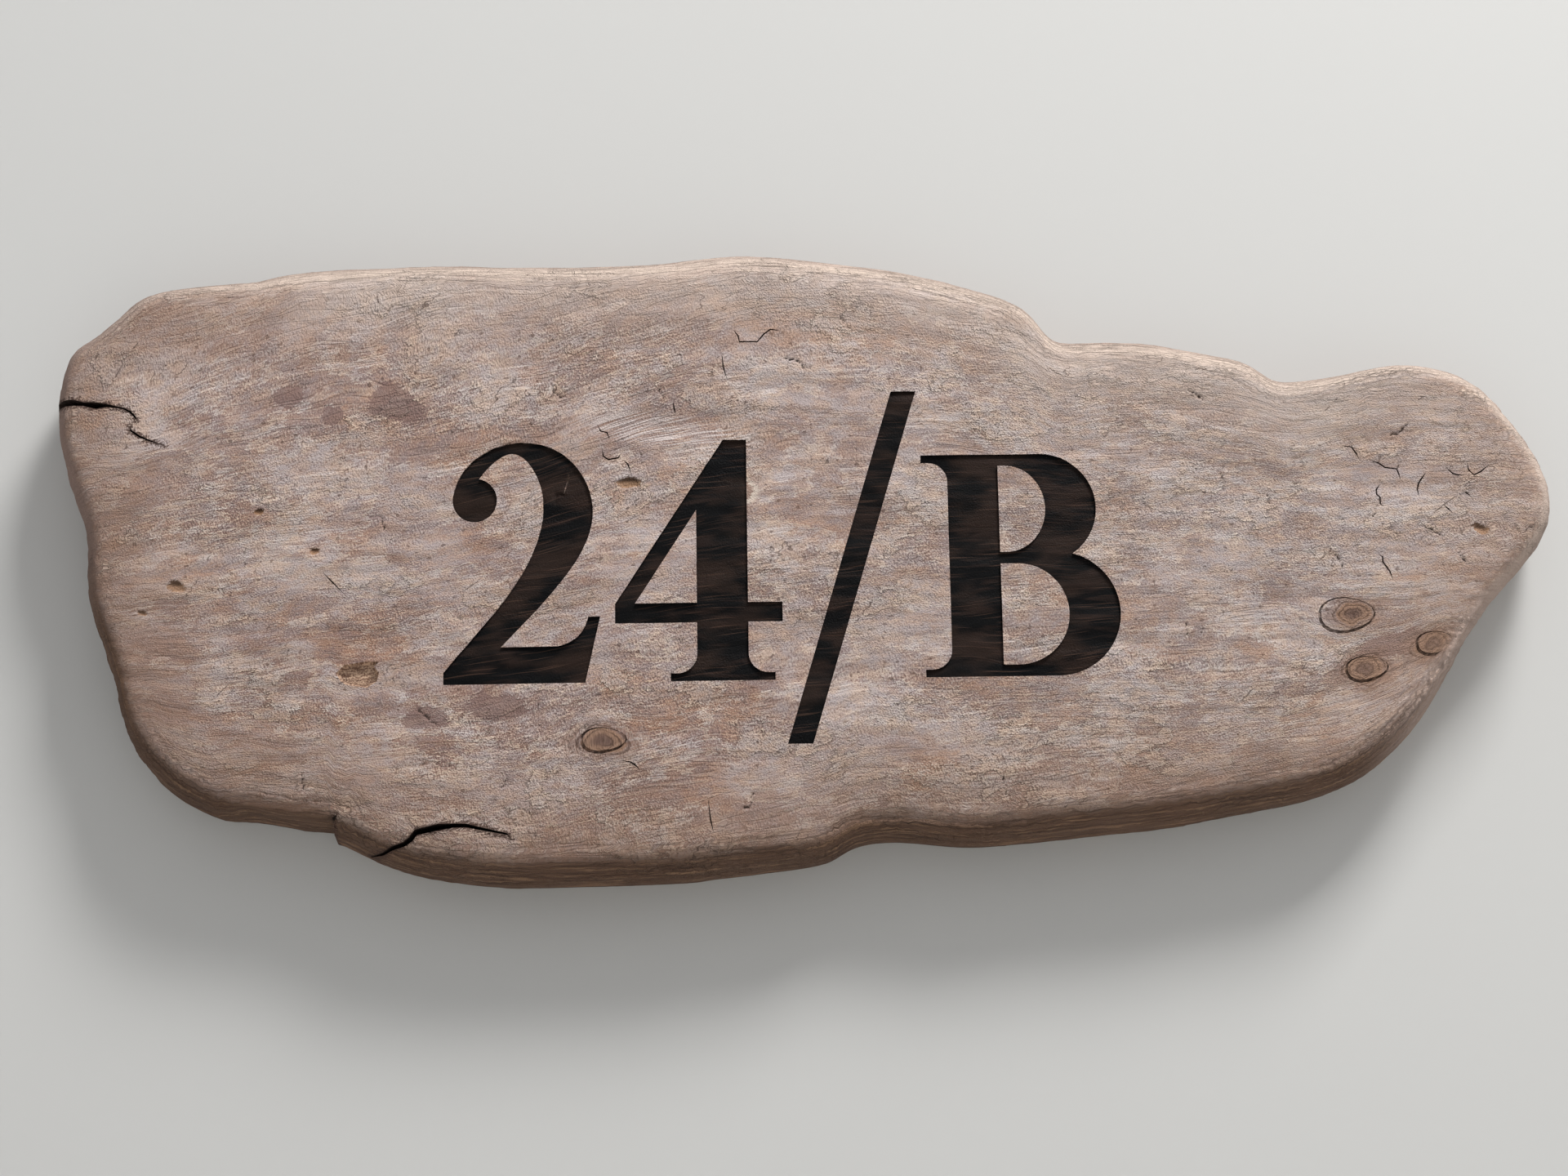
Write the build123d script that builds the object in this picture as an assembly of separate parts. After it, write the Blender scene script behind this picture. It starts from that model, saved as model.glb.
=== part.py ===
from build123d import *
import os
from math import cos, hypot, radians, sin, tan

# Driving dimensions in millimetres
# The plaque hangs upright. X runs along the grain, Z is up, the flat back lies on the plane Y = 0
# and the face with the number looks towards -Y.
LENGTH = 463
HEIGHT = 199
THICKNESS = 28

# Water-worn edge: where it stands out furthest, how far it is rounded off towards the back and the face,
# and the narrow bands that each rounding is built in
WIDEST_FROM_BACK = 12
BACK_ROUND = 4
TOP_ROUND = 11
BOTTOM_ROUND = 10
END_ROUND = 8
BACK_BANDS = 2
FACE_BANDS = 5

# Burnt number: its place on the face, its slope in degrees and the strokes of its serif figures
NUMBER_X = -6
NUMBER_Z = -1
NUMBER_SLOPE = 0.9
FIGURE_HEIGHT = 75
CAPITAL_HEIGHT = 69
STEM = 15.5
HAIRLINE = 3.6
SERIF = 2.4
SERIF_REACH = 8
SERIF_BRACKET = 6
SLASH_HEIGHT = 109
SLASH_DROP = 19.5
SLASH_LEAN = 17
SLASH_WIDTH = 7.6
FIGURE_GAP = 4.5
SLASH_GAP = 1
BURN_DEPTH = 0.8

# Natural marks of the wood
RING_WIDTH = 0.6
RING_DEPTH = 0.6
PIT_DEPTH = 1.6
PIT_FLOOR_SHARE = 0.85
CHECK_WIDTH = 0.5
CHECK_DEPTH = 1.5
CRACK_DEPTH = 7
SPLIT_DEPTH = 11

# Blind holes in the back for two wall pins
PIN_HOLE_DIAMETER = 8
PIN_HOLE_DEPTH = 16
PIN_SPACING = 240
PIN_HEIGHT = 40

# Outline of the slab where it is widest, seen from the front and drawn clockwise from the lower left
LEFT_END = [
    (-209.5, -37.5), (-214.5, -24.5), (-219, -10), (-221, 9.5), (-226.5, 25.5), (-231, 42), (-231, 56),
    (-227.5, 67.5),
]
TOP_EDGE = [
    (-219, 74), (-208, 84.5), (-196, 88.5), (-170, 91), (-149.5, 94.5), (-115, 96.5), (-54.5, 96),
    (-34.5, 98), (-14.5, 99.5), (10.5, 97), (30.5, 94.5), (50.5, 89.5), (65.5, 84.5), (72.5, 79),
    (78.5, 72), (88.5, 71), (108.5, 70.5), (125.5, 67.5), (140.5, 63.5), (147.5, 59),
]
RIGHT_END = [
    (156.5, 58.5), (170.5, 60.5), (183.5, 63), (199.5, 61.5), (210.5, 56.5), (219.5, 46.5), (227.5, 34),
    (231.5, 20.5), (229.5, 9.5), (220.5, -3), (209.5, -15.5), (198.5, -33.5), (188, -49.5), (175, -62.5),
    (159.5, -71.5),
]
BOTTOM_EDGE = [
    (135.5, -77), (110.5, -81.5), (75.5, -85.5), (45.5, -87.5), (25.5, -86), (16.5, -87.5), (10.5, -91),
    (0.5, -94), (-24.5, -97), (-64.5, -99.5), (-94.5, -99.5), (-109.5, -97.5), (-124.5, -93.5),
    (-140, -86.5), (-149.5, -84.5), (-169.5, -81.5), (-179.5, -78), (-189.5, -72.5), (-199.5, -62.5),
    (-206.5, -49.5),
]
OUTLINE = LEFT_END + TOP_EDGE + RIGHT_END + BOTTOM_EDGE
POINTS_IN_SPLINE = 4

# Ringed knots, each as its place on the face, width, height and turn in degrees
KNOTS = [
    (-59.5, -57, 14, 8, 2), (170, -35, 13.5, 8, 8), (164.5, -18.5, 17.5, 11, 4), (191, -27, 12, 7.5, 10),
]
KNOT_SIDES = 20
KNOT_WAVES = 3
KNOT_WAVE_SHARE = 0.05

# Rim of the pit, a chip where a soft spot has come out of the face
PIT_RIM = [
    (-140, -36.5), (-137.5, -34), (-131, -33), (-127, -33), (-128.5, -34.5), (-127, -36.5), (-127.5, -39),
    (-130.5, -41), (-137, -40), (-138.5, -39),
]

# Drying checks, fine cracks across the grain, as the places that each one runs through
CHECKS = [
    [(165.5, 34.5), (168.5, 34), (169.5, 32.5), (171, 29.5)],
    [(174, 29.5), (176.5, 29), (178.5, 27.5), (182, 27), (182.5, 25.5), (183, 23.5)],
    [(191, 26), (189.5, 24), (188.5, 22.5), (188, 20.5), (188.5, 18)],
    [(177, 22.5), (175.5, 20.5), (175.5, 19), (176.5, 18), (176.5, 16), (177.5, 15)],
    [(196.5, 28), (199, 25.5), (200.5, 25), (202.5, 25)],
    [(203.5, 29), (204, 26.5), (205.5, 25), (207.5, 26), (210.5, 28.5)],
    [(201.5, 20), (203, 19.5), (204.5, 18)],
    [(195.5, 16), (197, 14.5), (198.5, 13)],
    [(175, 0.5), (176.5, -0.5), (176.5, -2), (177.5, -3.5), (178.5, -5), (179.5, -8)],
    [(-24.5, 64.5), (-24, 59.5), (-22.5, 54.5)],
    [(-39.5, 49), (-39, 46), (-38.5, 44)],
    [(-62.5, 41), (-61.5, 39), (-59.5, 38.5), (-58.5, 36)],
    [(-61, 33.5), (-60.5, 31), (-59, 30), (-56, 30.5), (-55, 32)],
    [(-54.5, 30), (-53, 28.5), (-51.5, 24.5)],
    [(-72, 28), (-71, 24.5), (-72, 21), (-72.5, 19)],
    [(-21, 71.5), (-19.5, 69.5), (-19, 67.5), (-13.5, 67.5), (-11.5, 70), (-9.5, 71.5), (-6, 71)],
    [(-54, -63), (-51, -63.5), (-49.5, -64.5), (-48, -66)],
    [(-28, -73.5), (-27, -81), (-26, -85)],
    [(-145.5, -5), (-142, -8.5), (-138, -12.5)],
]

# Gaping cracks, as places with the crack's width there
END_CRACK = [
    (-240, 48, 2.4), (-224, 48, 2), (-220.5, 47.5, 1.2), (-216.5, 47, 2.2), (-213.5, 47, 1.1),
    (-210.5, 46.5, 0.6), (-208, 46, 0.5), (-206, 45, 0.6), (-204.5, 43.5, 0.6), (-203.5, 42, 0),
]
SIDE_CRACK = [
    (-205.5, 40.5, 0), (-205.5, 39, 0.5), (-204, 38, 0.6), (-202.5, 37, 0.6), (-200, 36, 0.5),
    (-194.5, 34, 0),
]
BOTTOM_SPLIT = [
    (-131, -91, 0), (-125, -90.5, 0.8), (-121.5, -89, 1.2), (-118, -88, 1.4), (-116, -86.5, 1.6),
    (-114.5, -84.5, 1.8), (-108, -83, 2), (-103.5, -82.5, 1.3), (-99.5, -82.5, 1.1), (-95, -83.5, 0.9),
    (-87.5, -85, 0.5), (-86, -86.5, 0),
]
BREAK_CRACK = [(-138, -79, 0), (-139.5, -80.5, 1.2), (-140, -83, 1.3), (-140.5, -85, 1.2), (-141, -100, 1.2)]

# Corner that has split off to the left of the break crack, as stations from the left where it runs out.
# Each gives the height of the break at the face and at the back.
BROKEN_CORNER = [(-180, -79.5, -79.5), (-166, -76, -79), (-151, -78.5, -82), (-139.8, -79.5, -82.5)]

# Tools for cutting into the face start this far in front of it
CUTTER_LEAD = 2

# Worked out from the sizes above: half the core line that the edge draws in to
core_half = (LENGTH - HEIGHT) / 2


def placed(x, z):
    """A point of the drawn slab, stretched to the length and height."""
    drawn_length = max(point[0] for point in OUTLINE) - min(point[0] for point in OUTLINE)
    drawn_height = max(point[1] for point in OUTLINE) - min(point[1] for point in OUTLINE)
    return x * LENGTH / drawn_length, z * HEIGHT / drawn_height


def edge_round(along, across):
    """Rounding of the face's edge for a direction that leads away from the core line."""
    side_round = TOP_ROUND if across > 0 else BOTTOM_ROUND
    return END_ROUND * along**2 + side_round * across**2


def section(turn):
    """Cross-section of the slab where the worn edge has turned by an angle, from -90 degrees at the back
    to 90 at the face. It is drawn as short splines that meet smoothly."""
    side_depth = THICKNESS - WIDEST_FROM_BACK if turn > 0 else WIDEST_FROM_BACK
    depth = WIDEST_FROM_BACK + side_depth * sin(radians(turn))
    worn = 1 - cos(radians(turn))
    points = []
    for drawn in OUTLINE:
        x, z = placed(*drawn)
        core_x = min(max(x, -core_half), core_half)
        reach = hypot(x - core_x, z)
        along = (x - core_x) / reach
        across = z / reach
        inset = worn * (edge_round(along, across) if turn > 0 else BACK_ROUND)
        points.append(Vector(x - inset * along, z - inset * across))
    count = len(points)
    splines = []
    for first in range(0, count, POINTS_IN_SPLINE):
        last = min(first + POINTS_IN_SPLINE, count)
        run = [points[index % count] for index in range(first, last + 1)]
        ways = [points[(index + 1) % count] - points[index % count - 1] for index in (first, last)]
        splines.append(Spline(*run, tangents=ways))
    return Plane.XZ.offset(depth) * make_face(splines)


def slab():
    """The driftwood blank, lofted in bands round its worn edge from the flat back to the face."""
    back_turns = [-90 + 90 * band / BACK_BANDS for band in range(BACK_BANDS)]
    face_turns = [90 * band / FACE_BANDS for band in range(FACE_BANDS + 1)]
    return loft([section(turn) for turn in back_turns + face_turns], ruled=True)


def box_between(x_one, z_one, x_two, z_two):
    """Rectangle between two opposite corners."""
    centre = Pos((x_one + x_two) / 2, (z_one + z_two) / 2)
    return centre * Rectangle(abs(x_two - x_one), abs(z_two - z_one))


def foot(stem_left, base=0, upward=1):
    """Bracketed serif across the end of a stem, built up from the base line or down from the cap line."""
    serif_top = base + upward * SERIF
    bracket_top = serif_top + upward * SERIF_BRACKET
    shape = box_between(stem_left - SERIF_REACH, base, stem_left + STEM + SERIF_REACH, serif_top)
    for stem_side, outward in ((stem_left, -1), (stem_left + STEM, 1)):
        bracket_side = stem_side + outward * SERIF_BRACKET
        bracket = box_between(stem_side, serif_top, bracket_side, bracket_top)
        shape += bracket - Pos(bracket_side, bracket_top) * Circle(SERIF_BRACKET)
    return shape


def figure_two(height):
    """Figure 2: a ball and a hairline that swells round the bowl and runs down to a flat base.
    Its places are shares of the figure's height."""
    width = 0.63 * height
    base_top = 0.15 * height
    tip_top = 0.27 * height
    bowl_right = 0.6 * height
    outer = Spline(
        (0.23 * height, base_top), (0.46 * height, 0.4 * height), (bowl_right, 0.72 * height),
        (0.5 * height, 0.93 * height), (0.32 * height, height), (0.13 * height, 0.94 * height),
        (0.03 * height, 0.77 * height),
    )
    inner = Spline(
        (0.1 * height, 0.76 * height), (0.17 * height, 0.89 * height), (0.28 * height, height - HAIRLINE),
        (0.37 * height, 0.86 * height), (bowl_right - STEM, 0.66 * height), (0.27 * height, 0.38 * height),
        (0, HAIRLINE),
    )
    tip = Spline((width - HAIRLINE, tip_top), (0.54 * height, 0.19 * height), (0.46 * height, base_top))
    edges = [
        outer,
        Line(outer @ 1, inner @ 0),
        inner,
        Polyline(inner @ 1, (0, 0), (0.57 * height, 0), (width, tip_top), tip @ 0),
        tip,
        Line(tip @ 1, outer @ 0),
    ]
    ball = Pos(0.12 * height, 0.76 * height) * Circle(0.09 * height)
    return make_face(edges) + ball, width


def figure_four(height):
    """Figure 4: a stem on a bracketed foot, a level bar and a slanted stroke.
    The stem and the bar stand at shares of the figure's height."""
    stem_left = 0.33 * height
    stem_right = stem_left + STEM
    bar_low = 0.24 * height
    bar_high = bar_low + SERIF + HAIRLINE
    width = stem_right + SERIF_REACH + SERIF
    slant_top = stem_right - 2 * HAIRLINE
    slant_width = SERIF + HAIRLINE
    slant_rise = (height - bar_high) / slant_top
    counter_top = bar_high + slant_rise * (stem_left - slant_width)
    blade = Polyline(
        (0, bar_low), (width, bar_low), (width, bar_high), (stem_right, bar_high), (stem_right, height),
        (slant_top, height), (0, bar_high), close=True,
    )
    counter = Polyline((slant_width, bar_high), (stem_left, bar_high), (stem_left, counter_top), close=True)
    stem = box_between(stem_left, 0, stem_right, bar_low)
    return make_face(blade) - make_face(counter) + stem + foot(stem_left), width


def slash():
    """Leaning stroke that starts below the base line and ends above the figures."""
    top = SLASH_HEIGHT - SLASH_DROP
    shift = SLASH_HEIGHT * tan(radians(SLASH_LEAN))
    width = shift + SLASH_WIDTH
    stroke = Polyline((0, -SLASH_DROP), (SLASH_WIDTH, -SLASH_DROP), (width, top), (shift, top), close=True)
    return make_face(stroke), width


def bowl(left, low, right, high):
    """Bowl of a letter: straight along the stem and rounded at its far side."""
    roundest_share = 0.85
    half = (high - low) / 2
    reach = min(half, roundest_share * (right - left))
    round_side = Pos(right - reach, low + half) * Ellipse(reach, half)
    return box_between(left, low, right - reach, high) + (round_side & box_between(left, low, right, high))


def capital_b(height):
    """Capital B: a stem with serifs and two bowls, the lower one larger.
    The waist and the bowls stand at shares of the letter's height."""
    stem_left = SERIF_REACH
    stem_right = stem_left + STEM
    waist_low = 0.53 * height - HAIRLINE / 2
    waist_high = waist_low + HAIRLINE
    lower_right = 0.86 * height
    upper_right = 0.77 * height
    shape = foot(stem_left) + foot(stem_left, height, -1)
    shape += bowl(stem_left, 0, lower_right, waist_high)
    shape += bowl(stem_left, waist_low, upper_right, height)
    shape -= bowl(stem_right, HAIRLINE, lower_right - STEM, waist_low)
    shape -= bowl(stem_right, waist_high, upper_right - STEM, height - HAIRLINE)
    return shape, lower_right


def number():
    """The burnt house number, set out from left to right and centred on its place."""
    two, two_width = figure_two(FIGURE_HEIGHT)
    four, four_width = figure_four(FIGURE_HEIGHT)
    stroke, stroke_width = slash()
    capital, capital_width = capital_b(CAPITAL_HEIGHT)
    four_left = two_width + FIGURE_GAP
    stroke_left = four_left + four_width + SLASH_GAP
    capital_left = stroke_left + stroke_width + SLASH_GAP
    shape = two + Pos(four_left, 0) * four + Pos(stroke_left, 0) * stroke + Pos(capital_left, 0) * capital
    centred = Pos(-(capital_left + capital_width) / 2, -FIGURE_HEIGHT / 2) * shape
    return Pos(*placed(NUMBER_X, NUMBER_Z)) * Rot(0, 0, NUMBER_SLOPE) * centred


def knot_rim(half_width, half_height):
    """Outline of a knot: an oval of short straight sides that waves in and out a little."""
    corners = []
    for side in range(KNOT_SIDES):
        turn = radians(360 * side / KNOT_SIDES)
        swell = 1 + KNOT_WAVE_SHARE * cos(KNOT_WAVES * turn)
        corners.append((swell * half_width * cos(turn), swell * half_height * sin(turn)))
    return make_face(Polyline(*corners, close=True))


def knot_ring(x, z, width, height, turn):
    """Groove where a knot has shrunk away from the wood around it, widest on one side of the knot."""
    shrunk = knot_rim(width / 2 - RING_WIDTH, height / 2 - RING_WIDTH)
    ring = knot_rim(width / 2, height / 2) - Pos(RING_WIDTH / 2, RING_WIDTH / 2) * shrunk
    return Pos(*placed(x, z)) * Rot(0, 0, turn) * ring


def pit():
    """Chip out of the face, with steep sides and a flat floor."""
    places = [Vector(*placed(x, z)) for x, z in PIT_RIM]
    middle = sum(places, Vector()) / len(places)
    flare = (1 - PIT_FLOOR_SHARE) / PIT_DEPTH
    levels = []
    for depth in (-CUTTER_LEAD, PIT_DEPTH):
        share = 1 - flare * depth
        rim = Polyline(*[middle + (place - middle) * share for place in places], close=True)
        levels.append(Plane.XZ.offset(THICKNESS - depth) * make_face(rim))
    return loft(levels, ruled=True)


def crack(stations):
    """Mouth of a crack, from stations that give its place and its width across the way it runs."""
    places = [Vector(*placed(x, z)) for x, z, width in stations]
    widths = [width for x, z, width in stations]
    ahead = places[1:] + places[-1:]
    behind = places[:1] + places[:-1]
    upper = []
    lower = []
    for place, before, after, width in zip(places, behind, ahead, widths):
        across = (after - before).normalized().rotate(Axis.Z, 90) * (width / 2)
        upper.append(place + across)
        if width:
            lower.append(place - across)
    return make_face(Polyline(*upper, *reversed(lower), close=True))


def check(places):
    """Mouth of a drying check, which closes at both of its ends."""
    inner = [(x, z, CHECK_WIDTH) for x, z in places[1:-1]]
    return crack([(*places[0], 0), *inner, (*places[-1], 0)])


def broken_corner():
    """Piece that has split off the lower edge and left a steep flat face through the whole thickness."""
    front = -THICKNESS - CUTTER_LEAD
    sections = []
    for x, face_height, back_height in BROKEN_CORNER:
        far, high = placed(x, face_height)
        low = placed(x, back_height)[1]
        profile = Polyline(
            (front, high), (-THICKNESS, high), (0, low), (CUTTER_LEAD, low), (CUTTER_LEAD, -HEIGHT),
            (front, -HEIGHT), close=True,
        )
        sections.append(Plane.YZ.offset(far) * make_face(profile))
    return loft(sections, ruled=True)


def cutter(mouth, depth):
    """Tool that sinks a mouth drawn on the face to a depth below it."""
    return extrude(Plane.XZ.offset(THICKNESS + CUTTER_LEAD) * mouth, amount=-(CUTTER_LEAD + depth))


def driftwood_plaque():
    """The whole plaque: the worn slab with its number, knots, pit, cracks, broken corner and pin holes."""
    plaque = slab()
    plaque -= cutter(number(), BURN_DEPTH)
    for knot in KNOTS:
        plaque -= cutter(knot_ring(*knot), RING_DEPTH)
    plaque -= pit()
    for places in CHECKS:
        plaque -= cutter(check(places), CHECK_DEPTH)
    for stations in (END_CRACK, SIDE_CRACK):
        plaque -= cutter(crack(stations), CRACK_DEPTH)
    plaque -= broken_corner()
    for stations in (BREAK_CRACK, BOTTOM_SPLIT):
        plaque -= cutter(crack(stations), SPLIT_DEPTH)
    for side in (-1, 1):
        pin_hole = Plane.XZ * Pos(side * PIN_SPACING / 2, PIN_HEIGHT) * Circle(PIN_HOLE_DIAMETER / 2)
        plaque -= extrude(pin_hole, amount=PIN_HOLE_DEPTH)
    return plaque


os.makedirs("parts", exist_ok=True)
export_step(driftwood_plaque(), "parts/driftwood_plaque.step")
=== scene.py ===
from math import atan2, cos, pi, radians, sin

import bmesh
import bpy
import numpy as np
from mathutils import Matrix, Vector
from mathutils.kdtree import KDTree


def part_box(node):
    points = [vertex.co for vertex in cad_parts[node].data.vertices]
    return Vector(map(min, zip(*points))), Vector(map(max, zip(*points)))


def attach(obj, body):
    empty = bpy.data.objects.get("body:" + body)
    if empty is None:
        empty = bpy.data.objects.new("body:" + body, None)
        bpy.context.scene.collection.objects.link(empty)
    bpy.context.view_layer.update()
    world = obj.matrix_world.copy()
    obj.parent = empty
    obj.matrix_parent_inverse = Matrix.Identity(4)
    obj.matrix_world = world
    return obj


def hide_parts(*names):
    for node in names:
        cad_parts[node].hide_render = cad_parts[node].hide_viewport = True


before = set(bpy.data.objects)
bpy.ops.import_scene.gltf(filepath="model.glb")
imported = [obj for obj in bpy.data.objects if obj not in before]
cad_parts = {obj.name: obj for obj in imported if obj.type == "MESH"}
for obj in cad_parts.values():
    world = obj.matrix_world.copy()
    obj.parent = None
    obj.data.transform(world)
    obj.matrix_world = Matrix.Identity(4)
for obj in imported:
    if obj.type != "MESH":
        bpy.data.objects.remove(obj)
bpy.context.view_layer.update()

# Driftwood slab
# One board of softwood that sea and sand have rounded and sun has bleached, with a number burnt into its
# face, hung on two wall pins that go into its back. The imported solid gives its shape, and its surface is
# sliced into cells, long with the grain, that are small enough to carry the relief of the worn grain.
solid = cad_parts["driftwood_plaque"]
slab_low, slab_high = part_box("driftwood_plaque")
face_level = slab_low.y
burn_depth = 0.0008
pit_depth = 0.0016
widest_level = -0.012
merge_gap = 1e-6
flat_turn = radians(0.05)

slab = bmesh.new()
slab.from_mesh(solid.data)
bmesh.ops.remove_doubles(slab, verts=slab.verts, dist=merge_gap)
bmesh.ops.dissolve_limit(slab, angle_limit=flat_turn, verts=slab.verts, edges=slab.edges)


def at_level(face, level):
    """The corners of a face that lie on a level of the slab, measured along Y."""
    level_gap = 1e-5
    return [vert for vert in face.verts if abs(vert.co.y - level) < level_gap]


def sunk_to(face, level):
    """Whether a face is a floor at a level, or a wall between that floor and the slab's own face."""
    floor = at_level(face, level)
    return bool(floor) and len(floor) + len(at_level(face, face_level)) == len(face.verts)


# The floor and the walls of the number are marked as burnt, those of the pit as pitted, and those of cracks
# and knot rings as opened. A wall's normal has almost no share along Y, and a floor's almost no other.
wall_share = 0.012
floor_share = 0.99
burnt = slab.faces.layers.float.new("burnt")
pitted = slab.faces.layers.float.new("pitted")
opened = slab.faces.layers.float.new("opened")
for face in slab.faces:
    face[burnt] = float(sunk_to(face, face_level + burn_depth))
    face[pitted] = float(sunk_to(face, face_level + pit_depth))
    upright = abs(face.normal.y) < wall_share
    below = face.normal.y < -floor_share and not at_level(face, face_level)
    face[opened] = float((upright or below) and not face[burnt] and not face[pitted])


def slice_cells(cells, axis, places):
    """Cuts faces of the slab at places along an axis, halving them so that each cut meets few faces."""
    if not cells or not places:
        return
    cut_gap = 1e-7
    middle = len(places) // 2
    place = Vector((0, 0, 0))
    place[axis] = places[middle]
    across = Vector((0, 0, 0))
    across[axis] = 1
    corners = {vert for cell in cells for vert in cell.verts}
    sides = {edge for cell in cells for edge in cell.edges}
    cut = bmesh.ops.bisect_plane(
        slab, geom=[*corners, *sides, *cells], dist=cut_gap, plane_co=place, plane_no=across,
    )
    pieces = [part for part in cut["geom"] if isinstance(part, bmesh.types.BMFace)]
    before = [piece for piece in pieces if piece.calc_center_median()[axis] < places[middle]]
    after = [piece for piece in pieces if piece.calc_center_median()[axis] >= places[middle]]
    slice_cells(before, axis, places[:middle])
    slice_cells(after, axis, places[middle + 1:])


def places_between(low, high, step):
    """Evenly spaced places inside a range."""
    return [low + step * index for index in range(1, round((high - low) / step))]


cell_along = 0.002
cell_across = 0.001
cell_deep = 0.002
cell_back = 0.004
flat_share = 0.98
slice_cells(slab.faces[:], 0, places_between(slab_low.x, slab_high.x, cell_along))
front = [face for face in slab.faces if face.calc_center_median().y < widest_level]
slice_cells(front, 2, places_between(slab_low.z, slab_high.z, cell_across))
back = [face for face in slab.faces if face.normal.y > flat_share]
slice_cells(back, 2, places_between(slab_low.z, slab_high.z, cell_back))
edge = [face for face in slab.faces if abs(face.normal.y) < flat_share]
slice_cells(edge, 1, places_between(face_level, 0, cell_deep))

# Marks on the face in millimetres. Knots, pits, stains, scratches and dips are a place, width, height and
# turn in degrees, a dip also its depth. Checks are the places that a hairline crack runs through.
knots = [
    (-59.5, -57, 14, 8, 2), (170, -35, 13.5, 8, 8), (167, -18, 13, 6.5, 5), (191, -27, 12, 7.5, 10),
    (67, 75.6, 8, 4.5, -20),
]
pale_knots = [(-23, 20, 21, 11.5, 0)]
pits = [
    (-189.6, -9.8, 5.5, 3.4, 0), (-165.3, 13.4, 3.4, 1.8, 8), (-148, 1, 3.4, 1.8, 8), (-52.7, 22.6, 8, 3, 0),
    (-199.4, -18, 3, 1.6, -30), (207, 8, 5, 3, -30),
]
stains = [
    (-125, 48, 15, 11, 0), (-158, 50, 9, 6, 0), (-144, 43.6, 7, 5, 0), (-113, -50, 14, 6, 0),
    (182, -27, 22, 7, 10), (-92, -47, 16, 8, 0),
]
scratches = (-42, 39, 62, 12, -8)
dips = [
    (180, -27, 60, 42, 8, 1.8), (35, -80, 70, 20, 3, 1.6), (-185, -34, 60, 44, 0, 1.2),
    (-59.5, -57, 26, 17, 4, -1.0), (-40, 38, 80, 14, -8, 0.4), (120, 30, 70, 30, 0, 0.6),
]
checks = [
    [(162, 0.5), (163.5, -1.5), (164.5, -4)], [(128, 26.5), (129, 23.5)], [(116, -21), (116.5, -24.5)],
    [(-43.5, 53), (-43.5, 51), (-42, 49.5)], [(-90, -72), (-88, -68.5)],
    [(-72.5, 19), (-75, 19), (-75, 16.5)], [(-17.5, -77.5), (-15, -76.5), (-14.5, -73)],
    [(-149, -67), (-149, -70), (-148, -72)], [(-115, -47.5), (-110, -52)],
    [(186, 41), (183, 38), (181, 38)], [(142, 20), (143, 16)], [(120, 52), (124, 49)],
    [(-76.5, 53.5), (-76, 51), (-73.5, 49.5)], [(-5, 62), (-1, 61.5), (1, 59)], [(12, 76), (15, 72)],
    [(-128, 12), (-127, 8)], [(60, -68), (61, -73)], [(190, 8.5), (192, 8), (194.5, 6)],
    [(200.5, 2), (200, 0), (202, -2)], [(175.5, 15), (174.5, 12)], [(183, 29), (183, 28), (182, 27)],
]


def mark_reach(x, z, mark):
    """Distance of places from the middle of a mark, 1 at the mark's rim."""
    mark_x, mark_z, width, height, turn = mark[:5]
    lengthwise = (x - mark_x) * cos(radians(turn)) + (z - mark_z) * sin(radians(turn))
    crosswise = (z - mark_z) * cos(radians(turn)) - (x - mark_x) * sin(radians(turn))
    return np.hypot(2 * lengthwise / width, 2 * crosswise / height)


def uneven_reach(x, z, mark, order):
    """The same for a mark with a wavy rim, its own for each place in the list."""
    bearing = np.arctan2(z - mark[1], x - mark[0])
    broad_waves = 0.1 * np.sin(2 * bearing + order) + 0.09 * np.sin(3 * bearing + 2 * order)
    small_waves = 0.05 * np.sin(5 * bearing)
    return mark_reach(x, z, mark) * (1 + broad_waves + small_waves)


def line_gap(x, z, line):
    """Distance of places from a line of points."""
    gap = np.full(x.shape, np.inf)
    for (x_one, z_one), (x_two, z_two) in zip(line, line[1:]):
        run_x = x_two - x_one
        run_z = z_two - z_one
        share = np.clip(((x - x_one) * run_x + (z - z_one) * run_z) / (run_x**2 + run_z**2), 0, 1)
        gap = np.minimum(gap, np.hypot(x - x_one - share * run_x, z - z_one - share * run_z))
    return gap


# Cells under a knot, pit or check are divided again, because those marks are finer than the grain. The rims
# of the cuts are left sharp, and only crack walls go deeper into the face than crack_depth.
mark_margin = 1.6
check_margin = 1.5
mark_depth = 4
fine_side = 0.0007
fine_cuts = 2
sharp_turn = radians(38)
crack_depth = 3
middles = np.array([1000 * face.calc_center_median() for face in slab.faces])
marked = np.zeros(len(middles), bool)
for mark in knots + pits:
    marked |= mark_reach(middles[:, 0], middles[:, 2], mark) < mark_margin
for line in checks:
    marked |= line_gap(middles[:, 0], middles[:, 2], line) < check_margin
marked &= middles[:, 1] < 1000 * face_level + mark_depth
slab.faces.ensure_lookup_table()
fine = {side for index in np.flatnonzero(marked) for side in slab.faces[index].edges}
fine = [side for side in fine if side.calc_length() > fine_side]
bmesh.ops.subdivide_edges(slab, edges=fine, cuts=fine_cuts, use_grid_fill=True)
bmesh.ops.triangulate(slab, faces=slab.faces)
for face in slab.faces:
    face.smooth = True
for side in slab.edges:
    side.smooth = side.calc_face_angle(0) < sharp_turn
cut_away = [
    any(face[burnt] or face[opened] or face[pitted] for face in vert.link_faces) for vert in slab.verts
]
crack_level = face_level + crack_depth / 1000
cracked = [
    any(face[opened] and max(corner.co.y for corner in face.verts) > crack_level for face in vert.link_faces)
    for vert in slab.verts
]

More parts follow.
